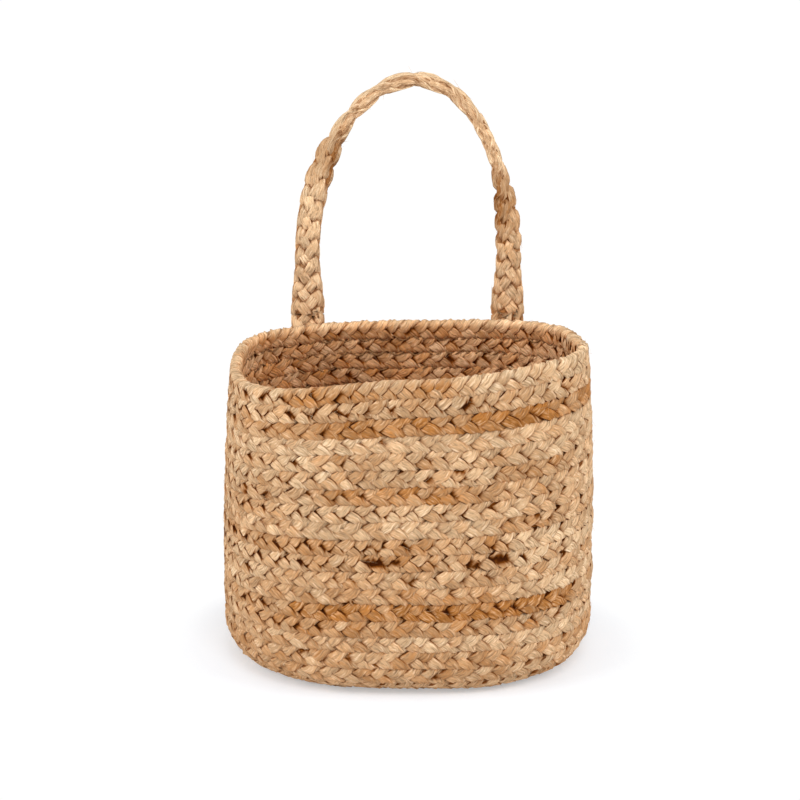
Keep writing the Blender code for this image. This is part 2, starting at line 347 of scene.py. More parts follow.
@dataclass(frozen=True)
class FloorFinish:
    """Plain white studio floor that keeps a soft shadow near the object and is pure white further out."""

    name: str = "studio_floor"
    colour: Colour = (0.66, 0.70, 0.75)
    paper: Colour = (0.88, 0.88, 0.88)
    glow: float = 0.36
    footprint: tuple[float, float] = (0.1015, 0.0800)
    shadow_reach: float = 1.12
    white_reach: float = 1.40

    def make(self) -> bpy.types.Material:
        """Make the material; the camera, gloss and glass see it brighter than it lights the object."""
        shader = Shader(self.name)
        rays = shader.node("LightPath", {}, {}, "Is Camera Ray")
        seen = (rays + rays.other("Is Glossy Ray") + rays.other("Is Transmission Ray")).clamped()
        width, depth = self.footprint
        place = shader.stretched(shader.node("TexCoord", {}, {}, "Object"), (1 / width, 1 / depth, 1))
        distance = shader.node("VectorMath", {"operation": "LENGTH"}, {0: place}, "Value")
        far = shader.node("MapRange", {"interpolation_type": "SMOOTHSTEP"}, {
            "Value": distance, "From Min": self.shadow_reach, "From Max": self.white_reach,
        })
        matt = shader.node("BsdfDiffuse", {}, {"Color": (*self.colour, 1)})
        glow = shader.node("Emission", {}, {"Color": (1, 1, 1, 1), "Strength": self.glow})
        near = shader.node("AddShader", {}, {0: matt, 1: glow})
        white = shader.node("Emission", {}, {"Color": (1, 1, 1, 1), "Strength": 1.02})
        bright = shader.node("MixShader", {}, {0: far, 1: near, 2: white})
        paper = shader.node("BsdfDiffuse", {}, {"Color": (*self.paper, 1)})
        return shader.finish(shader.node("MixShader", {}, {0: seen, 1: paper, 2: bright}))


@dataclass
class Studio:
    """Camera, lamps, world and floor."""

    target: Vector = field(default_factory=lambda: Vector((0, 0, 0.100)))
    distance: float = 1.1
    elevation: float = 19.56
    azimuth: float = 1.0
    roll: float = 0.43
    focal_pixels: float = 2014.6
    middle_pixels: tuple[float, float] = (408.6, 472.1)
    photo_pixels: float = 800
    sensor: float = 36.0
    world_level: float = 0.62
    floor_size: float = 14.0

    def place_camera(self) -> None:
        """Put the camera where the photograph was taken from."""
        azimuth, elevation = math.radians(self.azimuth), math.radians(self.elevation)
        forward = Vector((math.sin(azimuth) * math.cos(elevation),
                          math.cos(azimuth) * math.cos(elevation),
                          -math.sin(elevation)))
        data = bpy.data.cameras.new("photo_camera")
        data.sensor_width = self.sensor
        data.lens = self.focal_pixels / self.photo_pixels * self.sensor
        data.shift_x = (self.photo_pixels / 2 - self.middle_pixels[0]) / self.photo_pixels
        data.shift_y = (self.middle_pixels[1] - self.photo_pixels / 2) / self.photo_pixels
        data.clip_end = 50
        camera = bpy.data.objects.new("photo_camera", data)
        camera.location = self.target - forward * self.distance
        camera.rotation_mode = "QUATERNION"
        turned = Quaternion((0, 0, 1), math.radians(self.roll))
        camera.rotation_quaternion = forward.to_track_quat("-Z", "Y") @ turned
        bpy.context.collection.objects.link(camera)
        bpy.context.scene.camera = camera

    def hang_lamp(self, name: str, place: Vector, size: float, level: float) -> None:
        """Add one soft lamp that faces the basket.

        Args:
            name: The lamp's name.
            place: Where it hangs.
            size: Width of its square face.
            level: Share of plain brightness that it gives a white surface that faces it.
        """
        data = bpy.data.lights.new(name, "AREA")
        data.size = size
        away = place - self.target
        data.energy = level * (math.pi * away.length) ** 2
        lamp = bpy.data.objects.new(name, data)
        lamp.location = place
        lamp.rotation_mode = "QUATERNION"
        lamp.rotation_quaternion = (-away).to_track_quat("-Z", "Y")
        bpy.context.collection.objects.link(lamp)

    def light_world(self) -> None:
        """Give soft light from all round and a white background."""
        world = bpy.data.worlds.new("studio_world")
        world.use_nodes = True
        tree = world.node_tree
        tree.nodes.clear()
        rays = tree.nodes.new("ShaderNodeLightPath")
        shown = tree.nodes.new("ShaderNodeMath")
        shown.operation = "MAXIMUM"
        strength = tree.nodes.new("ShaderNodeMapRange")
        strength.inputs["To Min"].default_value = self.world_level
        strength.inputs["To Max"].default_value = 1
        background = tree.nodes.new("ShaderNodeBackground")
        background.inputs["Color"].default_value = (1, 1, 1, 1)
        output = tree.nodes.new("ShaderNodeOutputWorld")
        links = ((rays.outputs["Is Camera Ray"], shown.inputs[0]),
                 (rays.outputs["Is Transmission Ray"], shown.inputs[1]),
                 (shown.outputs[0], strength.inputs["Value"]),
                 (strength.outputs[0], background.inputs["Strength"]),
                 (background.outputs[0], output.inputs["Surface"]))
        for start, end in links:
            tree.links.new(start, end)
        bpy.context.scene.world = world

    def lay_floor(self) -> None:
        """Lay the white floor under the basket."""
        bpy.ops.object.select_all(action="DESELECT")
        bpy.ops.mesh.primitive_plane_add(size=self.floor_size, location=(0, 0, 0))
        floor = bpy.context.active_object
        floor.name = "studio_floor"
        floor.data.materials.append(FloorFinish().make())

    def build(self) -> None:
        """Set up the whole studio."""
        self.place_camera()
        self.hang_lamp("key_lamp", Vector((0.3, -1.5, 2.2)), 1.0, 0.24)
        self.hang_lamp("left_lamp", Vector((-1.9, -0.8, 1.2)), 1.2, 0.36)
        self.hang_lamp("right_lamp", Vector((1.9, -0.6, 1.3)), 1.2, 0.26)
        self.light_world()
        self.lay_floor()
        view = bpy.context.scene.view_settings
        view.view_transform = "Standard"


@dataclass
class Rail:
    """The path that a braid follows, as even stations along its length.

    Attributes:
        point: Middle of the braid.
        across: Direction from the braid's one edge to the other.
        outward: Direction out of its show face.
        scale: Width of the braid as a share of its usual width.
        wave: Length in which a strand goes to one edge, to the other and back.
        phase: Phase of the first strand, in radians.
        reach: Length from the braid's start.
    """

    point: Array
    across: Array
    outward: Array
    scale: Array
    wave: Array
    phase: Array
    reach: Array

    @classmethod
    def through(cls, point: Array, outward: Array, scale: Array, wave: Array, stride: float) -> "Rail":
        """Lay even stations along a path.

        Args:
            point: Close points of the path.
            outward: Direction out of the show face at each.
            scale: Share of the usual width at each.
            wave: The strands' wave length at each.
            stride: Wanted length between stations.

        Returns:
            The rail.
        """
        reach = reach_along(point)
        even = np.linspace(0, reach[-1], int(reach[-1] / stride) + 1)

        def along(values: Array) -> Array:
            """Read values at the even stations."""
            return np.stack([np.interp(even, reach, column) for column in values.T], -1)

        laid = along(point)
        forward = unit(np.gradient(laid, axis=0))
        face = along(outward)
        face = unit(face - forward * (face * forward).sum(-1, keepdims=True))
        local_wave = np.interp(even, reach, wave)
        steps = math.tau * np.gradient(even) / local_wave
        phase = np.cumsum(steps) - steps[0]
        scales = np.interp(even, reach, scale)
        return cls(laid, np.cross(face, forward), face, scales, local_wave, phase, even)


@dataclass
class CoilRoute:
    """Where the coiled braid runs, by the same rules as its solid."""

    pitch: float = 0.00901
    thickness: float = 0.0072
    last_turn: float = 26
    first_turn: float = 5 / 24
    end_turn: float = 26 + 1.3 / 24
    turn_gap: float = 0.0007
    belly_half_width: float = 0.1015
    belly_half_depth: float = 0.0795
    rim_half_width: float = 0.0955
    rim_half_depth: float = 0.0690
    corner_radius: float = 0.0206
    floor_offset: float = 0.0022
    rim_tilt: float = 0.0054
    rim_wave: float = 0.0030
    belly_square: float = 2.6
    rim_square: float = 3.2
    run_end_share: float = math.cos(math.radians(75))
    tuck_drop_share: float = 0.62
    tuck_turns: float = 2 / 24
    floor_settle_turns: float = 4
    square_turns: float = 2
    wave_turns: float = 6
    samples_per_turn: int = 120

    def __post_init__(self) -> None:
        """Work out the sizes that follow from the others."""
        self.half_thick = self.thickness / 2
        self.full_depth = self.belly_half_depth - self.half_thick
        self.core = self.belly_half_width - self.belly_half_depth
        self.bend = self.corner_radius - self.half_thick
        self.flat_run = self.full_depth - self.bend
        self.bend_run = self.bend * math.pi / 2
        self.wall_start = self.flat_run + self.bend_run
        self.wall_foot = self.half_thick + self.bend
        wall_turns = self.last_turn - self.wall_start / self.pitch
        self.rim_height = self.wall_foot + self.pitch * wall_turns
        self.floor_turns = self.flat_run / self.pitch
        self.fan = (self.rim_tilt + self.floor_offset) / (self.last_turn - self.floor_turns)

    def meridian(self, run: Array) -> tuple[Array, Array]:
        """Half depth and height of the braid's middle line, a run away from the middle of the floor."""
        angle = np.clip((run - self.flat_run) / self.bend, 0, math.pi / 2)
        depth = np.minimum(run, self.flat_run) + self.bend * np.sin(angle)
        height = self.half_thick + self.bend * (1 - np.cos(angle)) + np.maximum(0, run - self.wall_start)
        return depth, height

    def oval(self, height: Array, inward: Array) -> tuple[Array, Array, Array]:
        """Half width, half depth and squareness of the wall's middle line at a height."""
        share = np.clip((height - self.wall_foot) / (self.rim_height - self.wall_foot), 0, 1)
        width = self.belly_half_width - (self.belly_half_width - self.rim_half_width) * share ** 2
        depth = self.belly_half_depth - (self.belly_half_depth - self.rim_half_depth) * share ** 2
        square = self.belly_square + (self.rim_square - self.belly_square) * share
        return width - self.half_thick - inward, depth - self.half_thick - inward, square

    def run_at(self, turn: Array) -> Array:
        """Run from the middle of the floor at a place on the coil."""
        angle = math.tau * turn
        settled = self.floor_offset * np.clip((turn - 1) / self.floor_settle_turns, 0, 1)
        shift = self.fan * np.maximum(0, turn - self.floor_turns) - settled
        growth = ease((turn - self.last_turn + self.wave_turns) / self.wave_turns)
        wave = self.rim_wave * growth * np.sin(2 * angle) * np.minimum(0, np.sin(angle))
        return self.pitch * turn + shift * np.cos(angle) + wave

    def spacing(self, turn: Array) -> Array:
        """Distance between a turn and its neighbours."""
        return (self.run_at(turn + 1) - self.run_at(turn - 1)) / 2

    def place(self, turn: Array, run: Array) -> Array:
        """Points on the basket's middle surface at directions, given in turns, and runs."""
        cos, sin = np.cos(math.tau * turn), np.sin(math.tau * turn)
        depth, height = self.meridian(run)
        slide = self.core * np.clip(cos / self.run_end_share, -1, 1)
        stadium = np.stack([slide + depth * cos, depth * sin, height], -1)
        width, breadth, square = self.oval(height, self.full_depth - depth)
        power = 2 / square
        squared = np.stack([width * signed_power(cos, power), breadth * signed_power(sin, power), height], -1)
        settling = self.square_turns * self.pitch
        share = ease((run - self.flat_run + settling) / (self.bend_run + 2 * settling))
        point = stadium + (squared - stadium) * share[..., None]
        radius = self.pitch / 2 + run - self.run_at(turn)
        start = np.stack([radius * cos - self.core, radius * sin - self.pitch / 4,
                          np.full_like(radius, self.half_thick)], -1)
        first = (turn < 1) & (cos <= -self.run_end_share)
        return np.where(first[..., None], start, point)

    def frames(self, turn: Array) -> tuple[Array, Array, Array]:
        """Middle points with the directions up the wall and out of the basket."""
        ahead = 0.01
        aside = self.pitch / 20
        run = self.run_at(turn)
        point = self.place(turn, run)
        after, before = turn + ahead, turn - ahead
        forward = self.place(after, self.run_at(after)) - self.place(before, self.run_at(before))
        across = unit(self.place(turn, run + aside) - self.place(turn, run - aside))
        return point, across, unit(np.cross(forward, across))

    def samples(self, first: float, last: float) -> Array:
        """Close places along the coil between two turns."""
        return np.linspace(first, last, int((last - first) * self.samples_per_turn))

    def rail(self, stride: float, wave_at: tuple[tuple[float, float], ...]) -> tuple[Rail, Array]:
        """Lay the braid's stations.

        Args:
            stride: Length between stations.
            wave_at: Places, in turns, with the strands' wave length there.

        Returns:
            The rail, and the place of each station in turns.
        """
        turn = self.samples(self.first_turn, self.end_turn)
        point, _, outward = self.frames(turn)
        across = self.frames(turn)[1]
        tuck = ease((turn - self.last_turn) / self.tuck_turns + 0.5)[:, None]
        inward = tuck * (self.thickness + self.turn_gap)
        point = point - outward * inward - across * inward * self.tuck_drop_share
        scale = self.spacing(np.maximum(turn, 1)) / self.pitch
        places, waves = np.transpose(wave_at)
        rail = Rail.through(point, outward, scale, np.interp(turn, places, waves), stride)
        return rail, np.interp(rail.reach, reach_along(point), turn)


class Side(Enum):
    """The two legs of the hanging loop, by the sign of their X."""

    LEFT = -1
    RIGHT = 1


@dataclass
class LoopRoute:
    """Where the loop's braid runs: up behind the back wall at the right, over the crown, down at the left."""

    coil: CoilRoute
    half_span: float = 0.0565
    rise: float = 0.1300
    leg_height: float = 0.0310
    width: float = 0.0148
    thickness: float = 0.0072
    foot_width: float = 0.0205
    foot_height: float = 0.0300
    sewn_rows: float = 4
    axis_above_rim: float = 0.0034
    seat_gap: float = 0.0003
    leg_share: float = 5 / 36
    lean_share: float = 0.06
    twist_shares: tuple[float, float, float, float] = (0.18, 0.36, 0.70, 0.90)
    reach_samples: int = 9
    end_samples: int = 60
    arch_samples: int = 400

    def __post_init__(self) -> None:
        """Work out the hinge line and the sewn ends from the rim."""
        self.axis_height = max(self.rim_top(side) for side in Side) + self.axis_above_rim
        point, _ = self.sewn_frames(Side.RIGHT, np.array([self.axis_height]), np.ones(1))
        self.axis_depth = float(point[0, 1])
        self.sewn_top = self.axis_height - self.thickness / 2 - self.seat_gap
        self.sewn_length = self.sewn_rows * self.coil.pitch

    def rim_top(self, side: Side) -> float:
        """Height of the rim's upper edge in front of a leg."""
        width, _, square = self.coil.oval(np.array([self.coil.rim_height]), 0)
        share = (self.half_span / width) ** (square / 2)
        turn = self.coil.last_turn - 1 + np.arccos(side.value * share) / math.tau
        rim = self.coil.place(turn, self.coil.run_at(turn))
        return float(rim[0, 2] + self.coil.spacing(turn)[0] / 2)

    def wall_behind(self, x: Array, height: Array) -> tuple[Array, Array]:
        """Points on the outer face of the back wall, and the wall's normals there."""
        width, depth, square = self.coil.oval(height, 0)
        share = np.clip(np.abs(x) / width, 0, 1) ** square
        y = depth * (1 - share) ** (1 / square)
        slope = np.sign(x) * np.abs(x / width) ** (square - 1) / width
        normal = unit(np.stack([slope, (y / depth) ** (square - 1) / depth, 0 * y], -1))
        return np.stack([x, y, height], -1) + normal * self.coil.half_thick, normal

    def sewn_frames(self, side: Side, height: Array, square_on: Array) -> tuple[Array, Array]:
        """Middle points and backward normals of a sewn end.

        Args:
            side: Which leg.
            height: Heights on it.
            square_on: Share, at each height, by which it is square to the hinge and not along the wall.

        Returns:
            The points and the normals.
        """
        level = np.minimum(height, self.coil.rim_height)
        middle = np.full_like(level, side.value * self.half_span)
        wall_normal = self.wall_behind(middle, level)[1]
        back = np.array([0.0, 1.0, 0.0])
        normal = unit(wall_normal + (back - wall_normal) * square_on[:, None])
        along = np.stack([normal[:, 1], -normal[:, 0], 0 * level], -1)
        reach = np.full_like(level, -1.0)
        for step in np.linspace(-0.5, 0.5, self.reach_samples):
            wall = self.wall_behind(middle + side.value * self.foot_width * step, level)[0]
            reach = np.maximum(reach, (wall * normal).sum(-1))
        reach = reach + self.seat_gap + self.thickness / 2
        across = side.value * self.half_span - normal[:, 0] * reach
        point = normal * reach[:, None] + along * (across / along[:, 0])[:, None]
        point[:, 2] = height
        return point, normal

    def sewn_end(self, side: Side, share: Array) -> tuple[Array, Array]:
        """Middle points and backward normals of a sewn end, by share from its top down."""
        height = self.sewn_top - self.sewn_length * share
        return self.sewn_frames(side, height, 1 - ease((self.sewn_top - height) / self.coil.pitch))

    def arch(self, share: Array) -> tuple[Array, Array, Array]:
        """Middle points, show face directions and half widths of the free part, by share from the left."""
        inner = np.clip((share - self.leg_share) / (1 - 2 * self.leg_share), 0, 1)
        lift = np.sin(math.pi * inner)
        x = self.half_span * (self.lean_share * lift ** 2 - np.cos(math.pi * inner))
        leg = np.clip(np.minimum(share, 1 - share) / self.leg_share, 0, 1)
        height = self.axis_height + self.leg_height * leg + (self.rise - self.leg_height) * lift
        point = np.stack([x, np.full_like(x, self.axis_depth), height], -1)
        forward = unit(np.gradient(point, axis=0))
        back = np.array([0.0, 1.0, 0.0])
        outer = unit(np.cross(back, forward))
        left_start, left_end, right_start, right_end = self.twist_shares
        twist = ease((share - left_start) / (left_end - left_start))
        twist = twist - ease((share - right_start) / (right_end - right_start))
        quarter = twist[:, None] * math.pi / 2
        along = outer * np.cos(quarter) + back * np.sin(quarter)
        flare = 1 - ease((height - self.axis_height) / self.foot_height)
        half_width = (self.width + (self.foot_width - self.width) * flare) / 2
        return point, unit(np.cross(along, forward)), half_width

    def rail(self, stride: float, wave_at: tuple[tuple[float, float], ...]) -> Rail:
        """Lay the stations of the whole braid, from the right sewn end's tip to the left one's.

        Args:
            stride: Length between stations.
            wave_at: Shares of the free part, from right to left, with the strands' wave length there.

        Returns:
            The rail.
        """
        share = np.linspace(0, 1, self.end_samples)
        right, right_normal = self.sewn_end(Side.RIGHT, share[::-1])
        left, left_normal = self.sewn_end(Side.LEFT, share)
        free = np.linspace(0, 1, self.arch_samples)
        point, face, half_width = self.arch(1 - free)
        foot = np.full_like(share, self.foot_width / 2)
        points = np.concatenate([right, point, left])
        faces = np.concatenate([-right_normal, -face, -left_normal])
        widths = np.concatenate([foot, half_width, foot])
        places, waves = np.transpose(wave_at)
        wave = np.interp(np.concatenate([0 * share, free, 0 * share + 1]), places, waves)
        return Rail.through(points, faces, widths / (self.width / 2), wave, stride)


@dataclass
class Strands:
    """The skins of a braid's strands, as arrays of strand, station and side.

    Attributes:
        skin: Points of the skins.
        outward: Direction straight out of each point's own skin.
        height: How far each point stands out of the braid's middle surface.
        aside: Place of each point across the braid, as a share of its half width.
        local: Place along the strand and within its section, for fibres that follow it.
        tone, light, painted_shade, dullness: Values that the finish reads. The painted shade darkens creases,
            hollows and the core between the strands, and light holds random brightness per leaf together with
            the painted light of the inner face and the loop.
    """

    skin: Array
    outward: Array
    height: Array
    aside: Array
    local: Array
    tone: Array
    light: Array
    painted_shade: Array
    dullness: Array


@dataclass
class Braid:
    """A flat braid of an odd number of jute strands, each over one and under the next."""

    strand_count: int
    wave: float
    swing: float
    rise: float
    strand_half_width: float
    strand_half_thick: float
    half_width: float
    half_height: float
    press_width: float
    seed: int
    sides: int = 20
    stations_per_wave: int = 22
    squareness: float = 5.0
    turn_sharpness: float = 0.98
    edge_power: float = 10.0
    order_power: float = 0.7
    stretch_power: float = 0.0
    press_share: float = 0.40
    pillow: float = 0.0
    core_half_thick: float = 0.0010
    core_tone: float = 0.9
    # The next four values set the painted shade: on the core seen between the strands, on the strands' side
    # faces in the creases, and where a strand dives under the others.
    core_shade: float = 0.6
    crease_shade: float = 0.70
    dive_start: float = 0.86
    dive_range: float = 0.40
    phase_play: float = 0.34
    swing_play: float = 0.10
    width_play: float = 0.10
    lift_play: float = 0.00045
    roll_play: float = 0.14
    tone_play: float = 0.24
    light_play: float = 0.13
    taper_length: float = 0.006
    ridge_height: float = 0.00022
    fibre_twist: float = 0.045

    @property
    def stride(self) -> float:
        """Length between stations."""
        return self.wave / self.stations_per_wave

    def weave(self, rail: Rail, mess: Array | float = 0.0) -> Strands:
        """Lead the strands along a rail and give each its section.

        Args:
            rail: The path of the braid.
            mess: How untidy the braid is at each station, 0 where it is neat.

        Returns:
            The strands' skins and tones.
        """
        untidy = np.zeros_like(rail.reach) + mess
        parts = [self._strand(rail, number, untidy) for number in range(self.strand_count)]
        parts.append(self._core(rail))
        return Strands(*[np.stack(values) for values in zip(*parts)])

    def section(self) -> tuple[Array, Array, Array, Array]:
        """Cosine and sine round a section, and the rounded square that they give."""
        angle = math.tau * np.arange(self.sides) / self.sides
        cos, sin = np.cos(angle), np.sin(angle)
        power = 2 / self.squareness
        return cos, sin, signed_power(cos, power), signed_power(sin, power)

    def pressed(self, value: Array, limit: Array | float) -> Array:
        """Press in what stands out further than a limit."""
        size = np.abs(value)
        return np.copysign(size - (1 - self.press_share) * np.maximum(0, size - limit), value)

    def _core(self, rail: Rail) -> tuple:
        """Make the loose fibre that fills the middle of the braid, in the order of the fields of Strands."""
        cos, sin, wide, thick = self.section()
        ends = np.minimum(rail.reach, rail.reach[-1] - rail.reach) / self.taper_length
        taper = 0.5 + 0.5 * ease(ends)
        y = (0.94 * self.half_width * rail.scale * taper)[:, None] * wide
        z = (self.core_half_thick * taper)[:, None] * thick
        across, face = rail.across[:, None], rail.outward[:, None]
        skin = rail.point[:, None] + across * y[..., None] + face * z[..., None]
        outward = unit(across * cos[:, None] + face * sin[:, None])
        local = np.stack([rail.reach[:, None] + 0 * y - 40, y, z], -1)
        flat = 0 * y
        aside = y / (self.half_width * rail.scale[:, None])
        # The core carries painted shade where it shows between the strands.
        looks = (flat + self.core_tone, flat + 1, flat + self.core_shade, flat)
        return (skin, outward, z, aside, local, *looks)

    def _strand(self, rail: Rail, number: int, untidy: Array) -> tuple:
        """Make one strand, in the order of the fields of Strands."""
        seed = self.seed * 100 + number * 10
        play = self.phase_play * (1 + untidy)
        phase = rail.phase + math.tau * number / self.strand_count
        phase = phase + play * wander(rail.reach, 0.8 * self.wave, seed)
        sin_phase, cos_phase = np.sin(phase), np.cos(phase)
        loose = 1 + 2 * untidy
        usual_swing = self.swing * (self.wave / rail.wave) ** self.stretch_power
        swing = usual_swing * rail.scale * (1 + self.swing_play * loose * leafwise(phase, seed + 1))
        zigzag = np.arcsin(self.turn_sharpness * sin_phase) / math.asin(self.turn_sharpness)
        order = signed_power(np.sin((self.strand_count - 1) * phase), self.order_power)
        out = self.rise * order + self.lift_play * loose * leafwise(phase, seed + 2)
        middle = rail.point + rail.across * (swing * zigzag)[:, None] + rail.outward * out[:, None]
        forward = unit(np.gradient(middle, axis=0))
        face = signed_power(cos_phase, 0.6)
        lean = rail.across * (np.abs(sin_phase) ** self.edge_power)[:, None] + rail.outward * face[:, None]
        flat = unit(lean - forward * (lean * forward).sum(-1, keepdims=True))
        broad = np.cross(forward, flat)
        roll = (self.roll_play * loose * leafwise(phase, seed + 3))[:, None]
        flat, broad = flat * np.cos(roll) + broad * np.sin(roll), broad * np.cos(roll) - flat * np.sin(roll)
        ends = np.minimum(rail.reach, rail.reach[-1] - rail.reach) / self.taper_length
        taper = 0.35 + 0.65 * ease(ends)
        half_width = (self.strand_half_width + self.swing - usual_swing) * rail.scale * taper
        half_width = half_width * (1 + self.width_play * leafwise(phase, seed + 4))
        half_thick = self.strand_half_thick * taper * (1 + 0.1 * leafwise(phase, seed + 5))
        cos, sin, wide, thick = self.section()
        y, z = half_width[:, None] * wide, half_thick[:, None] * thick
        skin = middle[:, None] + broad[:, None] * y[..., None] + flat[:, None] * z[..., None]
        outward = unit(broad[:, None] * cos[:, None] + flat[:, None] * sin[:, None])
        offset = skin - rail.point[:, None]
        height = (offset * rail.outward[:, None]).sum(-1)
        aside = (offset * rail.across[:, None]).sum(-1)
        half = self.half_width * rail.scale[:, None]
        domed = 1 - self.pillow * np.minimum(1, np.abs(aside / half)) ** 3
        squeeze = self.pressed(height, self.half_height) * domed - height
        skin = skin + rail.outward[:, None] * squeeze[..., None]
        narrowing = self.pressed(aside, self.press_width * rail.scale[:, None]) - aside
        skin = skin + rail.across[:, None] * narrowing[..., None]
        height, aside = height + squeeze, (aside + narrowing) / half
        ridges = [wander(rail.reach, self.wave / 4, seed * 7 + side) for side in range(self.sides)]
        skin = skin + outward * (self.ridge_height * np.stack(ridges, -1))[..., None]
        turned = rail.reach[:, None] / self.fibre_twist + 0 * y
        fibre_y = y * np.cos(turned) + z * np.sin(turned)
        fibre_z = z * np.cos(turned) - y * np.sin(turned)
        local = np.stack([rail.reach[:, None] + 0 * y + number * 40, fibre_y, fibre_z], -1)
        # Painted shade: dark where the strand dives under the others and along its side faces in the creases.
        level = ((height / self.half_height) ** 4 + aside ** 4) ** 0.25
        dive = np.clip((self.dive_start - level) / self.dive_range, 0, 1)
        crease = np.clip((0.88 - np.abs(thick)) / 0.26, 0, 1) * ease(1.6 * np.abs(cos_phase) - 0.2)[:, None]
        painted_shade = np.maximum(dive, self.crease_shade * crease)
        tone = self.tone_play * leafwise(phase, seed + 6) + 0.12 * wander(rail.reach, 3 * self.wave, seed + 7)
        light = 1 + self.light_play * leafwise(phase, seed + 8)
        flatness = 0 * y
        return (skin, outward, height, aside, local, tone[:, None] + flatness, light[:, None] + flatness,
                painted_shade, flatness)


def skin_mesh(name: str, points: Array, quads: Array, triangles: Array, values: dict[str, Array],
              material: bpy.types.Material) -> bpy.types.Object:
    """Make a smooth mesh object from arrays.

    Args:
        name: The piece's name.
        points: Corner points.
        quads: Faces of four corners.
        triangles: Faces of three corners.
        values: Values at the points by name, single numbers or vectors.
        material: The piece's finish.

    Returns:
        The new object, at the origin.
    """
    mesh = bpy.data.meshes.new(name)
    mesh.vertices.add(len(points))
    mesh.vertices.foreach_set("co", points.astype(np.float32).ravel())
    corners = np.concatenate([quads.ravel(), triangles.ravel()]).astype(np.int32)
    sizes = np.concatenate([np.full(len(quads), 4), np.full(len(triangles), 3)]).astype(np.int32)
    mesh.loops.add(len(corners))
    mesh.loops.foreach_set("vertex_index", corners)
    mesh.polygons.add(len(sizes))
    mesh.polygons.foreach_set("loop_start", (np.cumsum(sizes) - sizes).astype(np.int32))
    mesh.polygons.foreach_set("use_smooth", np.ones(len(sizes), bool))
    for key, data in values.items():
        kind = "FLOAT_VECTOR" if data.ndim == 2 else "FLOAT"
        made = mesh.attributes.new(key, kind, "POINT")
        made.data.foreach_set("vector" if data.ndim == 2 else "value", data.astype(np.float32).ravel())
    mesh.update(calc_edges=True)
    mesh.validate()
    mesh.materials.append(material)
    piece = bpy.data.objects.new(name, mesh)
    bpy.context.collection.objects.link(piece)
    return piece


def tube_faces(tubes: int, rings: int, sides: int) -> tuple[Array, Array]:
    """Faces of closed tubes whose points come tube by tube and ring by ring.

    Args:
        tubes: Number of tubes.
        rings: Rings in each.
        sides: Points in each ring.

    Returns:
        The walls' quads and the end caps' triangles.
    """
    tube, ring, side = np.meshgrid(np.arange(tubes), np.arange(rings - 1), np.arange(sides), indexing="ij")
    start = (tube * rings + ring) * sides
    after = (side + 1) % sides
    quads = np.stack([start + side, start + after, start + sides + after, start + sides + side], -1)
    fan = np.arange(1, sides - 1)[None, :]
    first = (np.arange(tubes) * rings * sides)[:, None]
    last = first + (rings - 1) * sides
    start_caps = np.stack([first + 0 * fan, first + fan + 1, first + fan], -1)
    end_caps = np.stack([last + 0 * fan, last + fan, last + fan + 1], -1)
    return quads.reshape(-1, 4), np.concatenate([start_caps.reshape(-1, 3), end_caps.reshape(-1, 3)])


def strands_piece(name: str, strands: Strands, first: int, last: int,
                  material: bpy.types.Material) -> bpy.types.Object:
    """Make one piece of a stretch of a braid.

    Args:
        name: The piece's name.
        strands: The braid's strands.
        first: First station.
        last: Last station.
        material: The piece's finish.

    Returns:
        The new object.
    """
    part = slice(first, last + 1)
    skin = strands.skin[:, part]
    quads, triangles = tube_faces(*skin.shape[:3])
    values = {
        "strand_space": strands.local[:, part].reshape(-1, 3),
        "tone": strands.tone[:, part].ravel(),
        "leaf_light": strands.light[:, part].ravel(),
        "painted_shade": strands.painted_shade[:, part].ravel(),
        "dullness": strands.dullness[:, part].ravel(),
    }
    return skin_mesh(name, skin.reshape(-1, 3), quads, triangles, values, material)


def round_tubes(points: Array, radii: Array, hint: Array, sides: int) -> Array:
    """Wrap thin round skins about lines.

    Args:
        points: Points of the lines, as line, ring and coordinate.
        radii: Radius at each.
        hint: A direction at each that isn't along the line.
        sides: Points in each ring.

    Returns:
        The skins' points, as line, ring, side and coordinate.
    """
    forward = unit(np.gradient(points, axis=1))
    first = unit(np.cross(forward, hint))
    second = np.cross(forward, first)
    angle = math.tau * np.arange(sides) / sides
    turned = first[:, :, None] * np.cos(angle)[:, None] + second[:, :, None] * np.sin(angle)[:, None]
    return points[:, :, None] + turned * radii[:, :, None, None]


def report(piece: bpy.types.Object) -> None:
    """Tell which piece was made and how large its mesh is."""
    log.info("%s: %d points", piece.name, len(piece.data.vertices))


@dataclass(frozen=True)
class Stretch:
    """A stretch of the coil whose jute looks different.

    Attributes:
        start: Where it begins, in turns.
        end: Where it ends.
        warmth: How much warmer, or paler below 0, its jute is.
        dullness: How grey it is.
        mess: How untidily it is braided.
        crispness: How much darker, or lighter below 0, the painted shade in its creases is.
    """

    start: float
    end: float
    warmth: float = 0.0
    dullness: float = 0.0
    mess: float = 0.0
    crispness: float = 0.0


@dataclass(frozen=True)
class Hollow:
    """A hollow where the strands are pulled apart, pushed in and darkened with painted shade.

    Attributes:
        turn: Where it lies along the coil.
        aside: Where it lies across the braid, from -1 at the lower edge to 1 at the upper one.
        length: Its half length.
        width: Its half width, as a share of the braid's half width.
    """

    turn: float
    aside: float
    length: float = 0.0016
    width: float = 0.35


